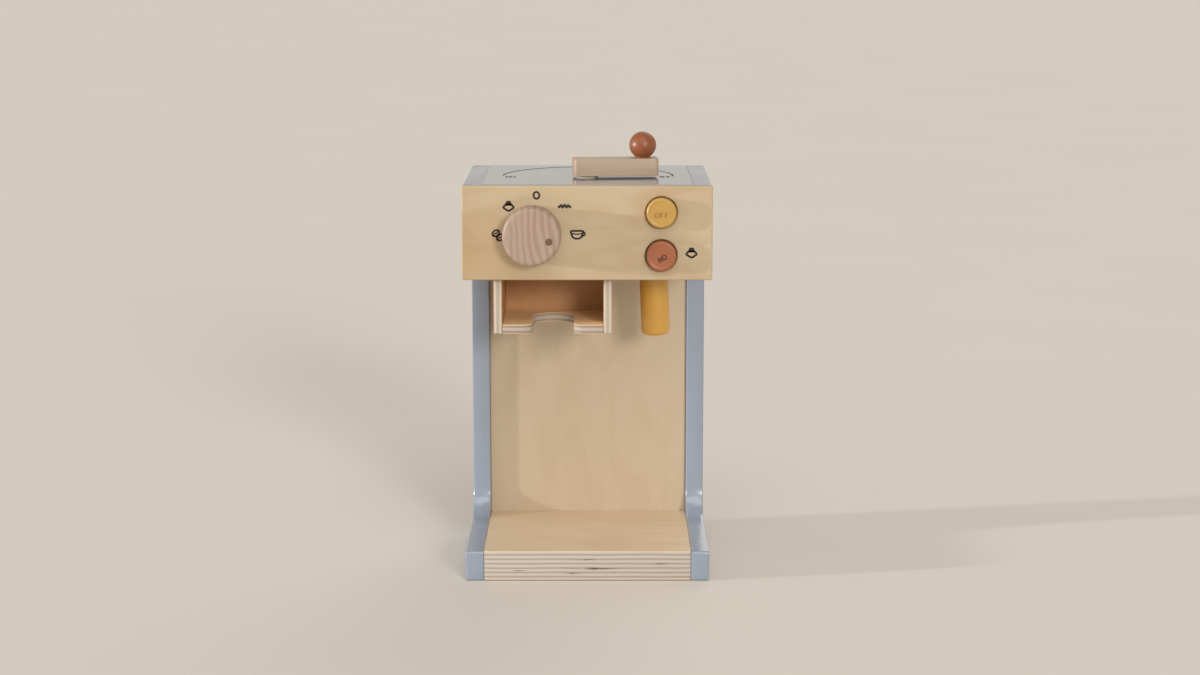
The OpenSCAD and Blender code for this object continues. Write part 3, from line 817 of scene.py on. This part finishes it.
# %% Carried profiles
FORWARDS = (0, -1, 0)
UPWARDS = (0, 0, 1)


def turned(profile, middle, axis, steps=96):
    """Points and faces of a surface of revolution.

    Point (i, j) = middle + h_i axis + r_i (u cos a_j + v sin a_j), with u and
    v square to the axis. The profile's ends have radius 0 and become poles.
    """
    axis = np.array(axis, float) / np.linalg.norm(axis)
    u = np.cross(axis, (1, 0, 0) if abs(axis[0]) < 0.5 else (0, 1, 0))
    u /= np.linalg.norm(u)
    v = np.cross(axis, u)
    angle = np.linspace(0, 2 * math.pi, steps, endpoint=False)
    round_the_axis = np.cos(angle)[:, None] * u + np.sin(angle)[:, None] * v
    radius, height = np.array(profile, float).T
    rings = (radius[1:-1, None, None] * round_the_axis
             + height[1:-1, None, None] * axis + middle)
    poles = np.array(middle) + height[[0, -1], None] * axis
    points = np.concatenate([rings.reshape(-1, 3), poles])
    j = np.arange(steps)
    k = (j + 1) % steps
    bottom, top = np.full((2, steps), [[len(points) - 2], [len(points) - 1]])
    last = (len(radius) - 3) * steps
    fans = np.concatenate([np.c_[bottom, k, j], np.c_[top, last + j, last + k]])
    return points, ring_quads(len(radius) - 2, steps) + fans.tolist()


def disc_profile(radius, low, high, rim_low, rim_high, steps=8):
    """Half the section of a disc whose two rims are quarter circles."""
    return np.vstack([
        [(0, low), (radius - rim_low - FACE_RING, low)],
        arc((radius - rim_low, low + rim_low), rim_low, -90, 0, steps),
        arc((radius - rim_high, high - rim_high), rim_high, 0, 90, steps),
        [(radius - rim_high - FACE_RING, high), (0, high)]])


def front_profile(node, back_rim, front_rim, sunk=0.0, steps=8):
    """The profile of a disc that faces forwards, its face sunk a little."""
    low, high, _ = corners(node)
    return disc_profile(half_width(node), -high[1], -low[1] - sunk, back_rim, front_rim, steps)


def turned_part(name, node, profile, material, steps=96, axis=FORWARDS, middle=None):
    """The turned piece that stands for a node, by default about its middle."""
    if middle is None:
        middle = corners(node)[2] * (1 - np.abs(axis))
    points, faces = turned(profile, middle, axis, steps)
    fit(piece(name, points, faces, material), node)


# %% [markdown]
# ## Knob
#
# The knob is turned from a strongly grained wood: bands of cream and pinkish
# brown run nearly upright over its face and lean a little to the left at the
# top. They are a sine across the grain, bent and thickened by slow noise. A
# dark plug near the rim is its pointer. It stands a hair proud, so the knob's
# face lies DOT_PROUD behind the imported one.

# %% Banded wood
BAND = 4.6 * MM


def banded_wood(name, middle, lean, pale, deep):
    """Turned wood with soft bands across X.

    The bands are sin(2 pi s), where s counts them and a slow noise bends it.
    """
    finish = Finish(name, Roughness=0.5)
    lie = {"turn": (0, lean, 0), "middle": middle}
    bend = finish.noise((55, 40, 26), **lie)
    thick = finish.noise((120, 40, 20), **lie)
    across = finish.parts(finish.stretched((1 / BAND,) * 3, **lie))[0]
    bands = ((across + bend * 2.6) * (2 * math.pi)).wave() + (thick - 0.5) * 2.5
    hair = finish.noise(grain_scale("Z", 6 * MM, 0.3 * MM), 2, 0.6, **lie)
    colour = finish.mix(bands.step(-0.3, 1.0), pale, deep)
    colour = finish.mix(hair.step(0.5, 0.8) * 0.2, colour, tone(140, 108, 86))
    return finish.done(colour, hair * 0.7 + bands * 0.3, 0.2, 0.42 + hair * 0.2)


# %% Knob and pointer
KNOB_RIM = 2.5 * MM
KNOB_BACK_RIM = 0.8 * MM
DOT_PROUD = 0.12 * MM
knob_wood = banded_wood("knob_wood", corners("knob")[2], 7, tone(170, 146, 127),
                        tone(156, 130, 112))
turned_part("knob_turned", "knob",
            front_profile("knob", KNOB_BACK_RIM, KNOB_RIM, DOT_PROUD), knob_wood, 128)
turned_part("pointer_dot", "knob_dot",
            front_profile("knob_dot", 0.2 * MM, 0.3 * MM, steps=4),
            ink("pointer_stain", tone(104, 76, 58), tone(122, 94, 74)), 48)

# %% [markdown]
# ## Buttons
#
# Each button is a painted disc with a softly rounded rim. Its face dips by a
# hair inside the rim, as thick paint leaves it, which gives the thin ring of
# light near its edge.

# %% Buttons
mustard = paint("mustard_paint", tone(185, 145, 72), tone(179, 139, 66), 0.36, 0.14)
terracotta = paint("terracotta_paint", tone(158, 93, 60), tone(151, 87, 54), 0.36, 0.14)
BUTTON_RIM = 1.6 * MM
BUTTON_BACK_RIM = 0.5 * MM
FACE_DIP = 0.18 * MM
DIP_W = 0.9 * MM
fall = np.linspace(0, 1, 7)[1:]
button_faces = {}
for button, coat, slot in (("off_button", mustard, "mustard_paint"),
                           ("on_button", terracotta, "terracotta_paint")):
    low, _, middle = corners(button)
    flat_r, front = half_width(button) - BUTTON_RIM, -low[1]
    face = front - FACE_DIP
    dip = np.stack([flat_r - DIP_W * fall,
                    front - FACE_DIP * (0.5 - 0.5 * np.cos(math.pi * fall))], 1)
    profile = np.vstack([front_profile(button, BUTTON_BACK_RIM, BUTTON_RIM)[:-2], dip,
                         [(flat_r - DIP_W - FACE_RING, face), (0, face)]])
    turned_part(button + "_cap", button, profile, coat, 128)
    button_faces[button] = (middle[[0, 2]], -face)

# %% [markdown]
# ## Lever and ball
#
# The lever is a small planed bar on a pivot bolt, with a plug over the bolt's
# head and a painted ball for a handle. The bar is turned a few degrees from
# the model's axes, so its outline is turned with it, and its grain too.

# %% Lever bar
LEVER_TURN = 5.2
BAR_L = 56 * MM
BAR_W = 17 * MM
PIVOT_IN = 9.6 * MM
BAR_ROUND = 2.5 * MM
BAR_RIM = 0.45 * MM
PLUG_R = 4.6 * MM

turn = math.radians(LEVER_TURN)
lever_axes = np.array([[math.cos(turn), math.sin(turn)], [-math.sin(turn), math.cos(turn)]])


def bar_wood(name):
    """Planed wood whose grain runs along the bar, with darker end grain."""
    finish = Finish(name, Roughness=0.5)
    lie = {"turn": (0, 0, -LEVER_TURN), "middle": (*pivot, 0)}
    colour, height = wood_face(finish, "X", tone(178, 156, 133), tone(152, 125, 102),
                               tone(170, 147, 125), 0.7, **lie)
    along = finish.parts(finish.stretched((1, 1, 1), **lie))[0]
    half = BAR_L / 2
    ends = (along - (half - PIVOT_IN)).size().step(half - 0.7 * MM, half - 0.2 * MM)
    pores = finish.lumps(0.6 * MM, 3, 0.7)
    end_colour = finish.mix(pores.step(0.4, 0.7), tone(184, 150, 128), tone(158, 124, 102))
    return finish.done(finish.mix(ends, colour, end_colour),
                       height * (1 - ends) + pores * ends, 0.10, 0.46 + ends * 0.2)


bar_outline = round_corners(
    np.array([(-PIVOT_IN, -BAR_W / 2), (BAR_L - PIVOT_IN, -BAR_W / 2),
              (BAR_L - PIVOT_IN, BAR_W / 2), (-PIVOT_IN, BAR_W / 2)]) @ lever_axes + pivot,
    BAR_ROUND, 8)
lever_wood = bar_wood("lever_wood")
board("lever_bar", bar_outline, "Z", lever_wood, BAR_RIM,
      [circle(pivot, PLUG_R, 64)])

# %% Plug and spacer
PLUG_SUNK = 0.15 * MM
SPACER_RIM = 0.2 * MM
low, high, _ = corners("lever_plug")
profile = disc_profile(half_width("lever_plug"), low[2], high[2] - PLUG_SUNK, 0.3 * MM,
                       0.4 * MM, 4)
turned_part("pivot_plug", "lever_plug", profile, bare_wood("plug_wood", "Y"), 64,
            UPWARDS, (*pivot, 0))

plywood_board("lever_spacer", "spacer_wood", "Z", "X", 1, front_tones, edge_tones, "lever_wood",
              circle(pivot, half_width("lever_spacer"), 96), SPACER_RIM,
              [circle(pivot, BOLT_HOLE_R, 48)])

# %% Ball
# It has a foot of radius FOOT_R, and sits BALL_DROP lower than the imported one
FOOT_R = 4.8 * MM
FOOT_RIM = 0.2 * MM
BALL_DROP = 0.7 * MM
ball_paint = paint("ball_paint", tone(142, 81, 47), tone(135, 76, 43), 0.38, 0.14)
low, high, _ = corners("lever_ball")
ball_r = half_width("lever_ball")
ball_z = high[2] - ball_r - BALL_DROP
meet = -math.degrees(math.acos(FOOT_R / ball_r))
profile = np.vstack([
    [(0, low[2]), (FOOT_R - FACE_RING, low[2])],
    arc((FOOT_R - FOOT_RIM, low[2] + FOOT_RIM), FOOT_RIM, -90, 0, 4),
    arc((0, ball_z), ball_r, meet, 89, 48),
    [(0, ball_z + ball_r)]])
turned_part("ball_handle", "lever_ball", profile, ball_paint, axis=UPWARDS)

# %% [markdown]
# ## Steam wand
#
# The wand is a painted dowel that hangs from its axle with a slight lean. Its
# axis is read from its joint, and its lower rim is well rounded.

# %% Wand
WAND_R = 9.6 * MM
WAND_L = 46 * MM
WAND_GAP = 1.1 * MM
WAND_RIM = 4 * MM
WAND_TOP_RIM = 0.6 * MM
wand_joint = next(joint for joint in frame["joints"] if joint["name"] == "wand_turn")
# Its paint is the buttons' mustard made lighter: painted light that makes up for the light the
# head keeps from the wand.
wand_paint = paint("wand_paint", tone(213, 164, 74), tone(207, 156, 68), 0.36, 0.14)
profile = disc_profile(WAND_R, -WAND_GAP - WAND_L, -WAND_GAP, WAND_RIM, WAND_TOP_RIM, 10)
turned_part("steam_wand", "wand", profile, wand_paint,
            axis=wand_joint["axis"], middle=wand_joint["pos_m"])

# %% [markdown]
# ## Printed marks
#
# The dial's pictograms, the lever's arc and the words on the buttons are pad
# print. Each is a flat shape that stands out of its face by PRINT_UP, so that
# it stays sharp at any distance. A line is drawn as the outline that a round
# pen leaves along a path, and a closed line as an outline with a hole.

# %% Pen strokes
PRINT_UP = 0.05 * MM
PRINT_RIM = 0.01 * MM


def stroke(path, width):
    """The outline that a round pen leaves along an open path.

    Both sides are the path moved square to itself by half the width, and half
    circles close the ends.
    """
    path = np.array(path, float)
    edge = np.diff(path, axis=0)
    edge /= np.linalg.norm(edge, axis=1, keepdims=True)
    normal = np.stack([-edge[:, 1], edge[:, 0]], 1)
    first, second = np.vstack([normal[:1], normal]), np.vstack([normal, normal[-1:]])
    aside = (first + second) / (1 + (first * second).sum(1, keepdims=True)) * width / 2
    start = math.degrees(math.atan2(*edge[0][::-1]))
    end = math.degrees(math.atan2(*edge[-1][::-1]))
    return np.vstack([
        path - aside, arc(path[-1], width / 2, end - 90, end + 90, 8)[1:-1],
        (path + aside)[::-1], arc(path[0], width / 2, start + 90, start + 270, 8)[1:-1]])


def ring_stroke(loop, width):
    """A closed line as a shape: its outer loop and a list with its hole."""
    loop = loop if signed_area(loop) > 0 else loop[::-1]
    return inset(loop, -width / 2), [inset(loop, width / 2)]


def ellipse(middle, across, up, steps=40):
    """Points round an ellipse, with its two half axes."""
    return np.array(middle) + circle((0, 0), 1, steps) * (across, up)


def placed(shapes, middle, turn=0.0):
    """Shapes drawn in millimetres about the origin, turned and put in place."""
    a = math.radians(turn)
    rotate = np.array([[math.cos(a), math.sin(a)], [-math.sin(a), math.cos(a)]]) * MM
    return [(np.array(outline) @ rotate + middle, [hole @ rotate + middle for hole in holes])
            for outline, holes in shapes]


def printed(name, shapes, across, face, out, material, body):
    """Prints flat shapes, each an outline and its holes, on a face.

    `out` is the way the face looks along its axis, 1 or -1.
    """
    depth = sorted((face - out * PRINT_UP, face + out * PRINT_UP))
    points, faces = np.empty((0, 3)), []
    for outline, holes in shapes:
        more, more_faces, _ = carried(outline, across, depth, PRINT_RIM, holes, steps=1)
        faces += [[corner + len(points) for corner in polygon] for polygon in more_faces]
        points = np.vstack([points, more])
    made = piece(name, points, faces, material)
    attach(made, body)
    print(name, "printed on", body)


# %% [markdown]
# The dial has five marks round the knob: beans, a filter with a cap, a zero,
# a steam line and a cup. Their lines are 0.8 to 1.65 mm wide, and the filter
# appears again beside the lower button. Each mark is drawn in millimetres.

# %% Dial marks
BEAN = [  # an oval line with a bent line down its middle
    ring_stroke(ellipse((0, 0), 2.5, 1.8), 1.15),
    (stroke([(-2.0, -0.5), (-0.7, 0.35), (0.7, -0.35), (2.0, 0.5)], 0.8), [])]
FILTER = [  # a lens-shaped line with a small solid cap on it
    ring_stroke(round_corners([(-3.7, -0.8), (0, -3.2), (3.7, -0.8), (1.8, 1.0), (-1.8, 1.0)],
                              [0.8, 1.6, 0.8, 0.7, 0.7]), 1.35),
    (round_corners([(-2.3, 0.6), (2.3, 0.6), (1.4, 3.5), (-1.4, 3.5)], [0.3, 0.3, 0.9, 0.9]), [])]
ZERO = [ring_stroke(ellipse((0, 0), 1.85, 2.15), 1.3)]
STEAM = [  # a zigzag with three peaks, its ends drawn out
    (stroke([(-3.6, -0.5), (-2.2, 0.5), (-1.2, -0.5), (0, 0.7), (1.2, -0.5), (2.2, 0.5),
             (3.6, -0.5)], 1.65), [])]
CUP = [  # a bowl, a line for what is in it, and a small handle
    ring_stroke(round_corners([(-4.2, 2.4), (-2.9, -1.6), (-1.2, -2.6), (1.2, -2.6),
                               (2.9, -1.6), (4.2, 2.4)], [0.7, 1.2, 0.8, 0.8, 1.2, 0.7]), 1.3),
    (stroke([(-3.1, 0.75), (-1.2, 0.3), (1.2, 0.3), (3.1, 0.75)], 0.8), []),
    (stroke(arc((3.8, 0.5), 1.3, 60, -95, 8), 1.1), [])]

# Each mark's drawings, with millimetres right and up from the knob's axis
DIAL_MARKS = {
    "mark_beans": ((BEAN, -23.2, 0.5), (BEAN, -20.4, -2.2)),
    "mark_filter": ((FILTER, -15.0, 17.9),), "mark_zero": ((ZERO, 2.9, 24.9),),
    "mark_steam": ((STEAM, 20.9, 17.9),), "mark_cup": ((CUP, 28.8, -0.4),)}
BEAN_TURN = 35
FILTER_ASIDE = (19.4, 1.6)
black = ink("print_black", tone(34, 22, 21), tone(52, 38, 35))
panel_face = corners("front_panel")[0][1]
marks = {name: sum((placed(drawing, knob_middle + np.array(step) * MM,
                           BEAN_TURN if drawing is BEAN else 0)
                    for drawing, *step in drawings), [])
         for name, drawings in DIAL_MARKS.items()}
marks["mark_filter_right"] = placed(
    FILTER, button_faces["on_button"][0] + np.array(FILTER_ASIDE) * MM)
for name, shapes in marks.items():
    printed(name, shapes, "Y", panel_face, -1, black, "casing")

# %% [markdown]
# The lever sweeps along an arc that is printed on the top panel. It is a thin
# crescent between two ellipses, wider at the back than at its ends. Three dots
# lie beside its left end and two larger ones beside its right end.

# %% Lever's arc
ARC_R = 56.2 * MM
ARC_SIDE = 0.6 * MM
ARC_BACK = 1.5 * MM
ARC_OFF_PIVOT = np.array([0.3, 9.8]) * MM
ARC_DOTS = ((-53.4, 1.0), (-50.9, 1.3), (-48.3, 0.9), (49.3, 1.9), (53.2, 1.2))
DOTS_BACK = 1.2
DOT_HALF_DEPTH = 3.6
top_face = corners("top_panel")[1][2]
unit_arc = arc((0, 0), 1, -5, 180, 90)
arc_line = np.vstack([unit_arc * (ARC_R + ARC_SIDE, ARC_R + ARC_BACK),
                      unit_arc[::-1] * (ARC_R - ARC_SIDE, ARC_R - ARC_BACK)])
arc_shapes = [(arc_line + pivot + ARC_OFF_PIVOT, [])]
arc_shapes += placed([(ellipse((right, DOTS_BACK), across, DOT_HALF_DEPTH, 24), [])
                      for right, across in ARC_DOTS], pivot)
grey_ink = ink("print_grey", tone(34, 28, 28), tone(52, 46, 46))
printed("lever_arc", arc_shapes, "Z", top_face, 1, grey_ink, "casing")

# %% [markdown]
# The words on the buttons are outlines drawn in millimetres: an oval line for
# O, and polygons for F and N. The upper word is only a shade darker than its
# paint. The lower button had been turned in its hole when it was seen, so its
# word stands nearly upside down.

# %% Words
PEN = 0.75
BOLD_PEN = 0.85
ON_TURN = 210
LETTER_F = np.array([(0, -1.75), (0.75, -1.75), (0.75, -0.575), (1.6, -0.575), (1.6, 0.175),
                     (0.75, 0.175), (0.75, 1.0), (1.9, 1.0), (1.9, 1.75), (0, 1.75)])
LETTER_N = np.array([(0, -1.75), (0.75, -1.75), (0.75, 0.2125), (1.85, -1.75), (2.6, -1.75),
                     (2.6, 1.75), (1.85, 1.75), (1.85, -0.2125), (0.75, 1.75), (0, 1.75)])


def letter_o(x, pen):
    """The letter O, its middle at x."""
    return ring_stroke(ellipse((x, 0), 1.25, 1.45, 32), pen)


off_middle, off_face = button_faces["off_button"]
on_middle, on_face = button_faces["on_button"]
off_word = placed([letter_o(-3.0, PEN), (LETTER_F + (-0.9, 0), []), (LETTER_F + (2.0, 0), [])],
                  off_middle + (0, -1.3 * MM))
on_word = placed([letter_o(-1.7, BOLD_PEN), (LETTER_N + (0.2, 0), [])],
                 on_middle + (0.4 * MM, -1.5 * MM), ON_TURN)
off_ink = ink("print_ochre", tone(150, 106, 42), tone(164, 120, 52))
on_ink = ink("print_brown", tone(70, 30, 24), tone(92, 46, 36))
printed("word_off", off_word, "Y", off_face, -1, off_ink, "off_turns")
printed("word_on", on_word, "Y", on_face, -1, on_ink, "on_turns")

# %% [markdown]
# ## Springs
#
# A coil spring pushes each button back. As packed, it would keep its length
# and stick through the washer when the button goes in. Its wire is carried
# along a helix again, as a piece with a mesh of its own. Nothing here makes it
# flatten while the button travels.

# %% Springs
metal = zinc("zinc_steel")
WIRE_R = 0.25 * MM
SPRING_TURNS = 3


def coil(middle, radius, low, high, turns, steps=32, sides=8):
    """Points and faces of a wire along a helix round Y.

    Ring i lies at angle t = 2 pi turns s and height low + (high - low) s, for s
    from 0 to 1. Its point k lies WIRE_R from its middle, at angle a_k, in the
    plane of the axis: radius + WIRE_R cos a_k out and WIRE_R sin a_k along.
    """
    s = np.linspace(0, 1, turns * steps + 1)[:, None]
    t = 2 * math.pi * turns * s
    around = np.linspace(0, 2 * math.pi, sides, endpoint=False)
    r = radius + WIRE_R * np.cos(around)
    y = low + (high - low) * s + WIRE_R * np.sin(around)
    points = np.stack([middle[0] + r * np.cos(t), y, middle[2] + r * np.sin(t)], -1)
    first, last = np.arange(sides), np.arange(sides) + turns * steps * sides
    ends = [first[::-1].tolist(), last.tolist()]
    return points.reshape(-1, 3), ring_quads(turns * steps + 1, sides) + ends


for button in ("off", "on"):
    node = button + "_spring"
    low, high, middle = corners(node)
    joint = next(j for j in frame["joints"] if j["name"] == button + "_press")
    travel = joint["range_m"][1]
    washer_y = corners(button + "_washer")[1][1]
    plate_y = corners("button_plate")[0][1]
    points, faces = coil(middle, half_width(node) - WIRE_R, low[1] + WIRE_R,
                         high[1] - WIRE_R, SPRING_TURNS)
    wire = piece(node + "_wire", points, faces, metal)
    fit(wire, node)
    1 - travel / (plate_y - washer_y)
    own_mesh(wire)
    print(node, "shortens from", round((plate_y - washer_y) / MM, 2), "mm by", travel / MM, "mm")

# %% [markdown]
# ## What stays as it is
#
# Screws, washers, dowels, discs and the plate that guides the stems already
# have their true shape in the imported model. They keep it, and only get a
# material: bare beech or plywood for wood, and zinc-plated steel for metal.

# %% Inner parts
WOOD_ALONG = {
    "X": ("base_dowels", "top_pins", "floor_pins", "knob_disc", "off_disc", "on_disc",
          "wand_disc"),
    "Y": ("front_pins", "knob_axle", "off_stem", "on_stem"),
    "Z": ("dock_pins", "ball_dowel", "wand_axle")}
wooden = {}
for along, names in WOOD_ALONG.items():
    wooden.update(dict.fromkeys(names, bare_wood("bare_beech_" + along, along)))
wooden["button_plate"] = plywood("guide_plate_wood", "button_plate", "Y", "X", 1, front_tones,
                                 edge_tones)
dressed = 0
for name, node in frame["nodes"].items():
    if node.hide_render:
        continue
    node.data.materials.clear()
    node.data.materials.append(wooden.get(name, metal))
    dressed += 1
print("nodes that keep their shape:", dressed)
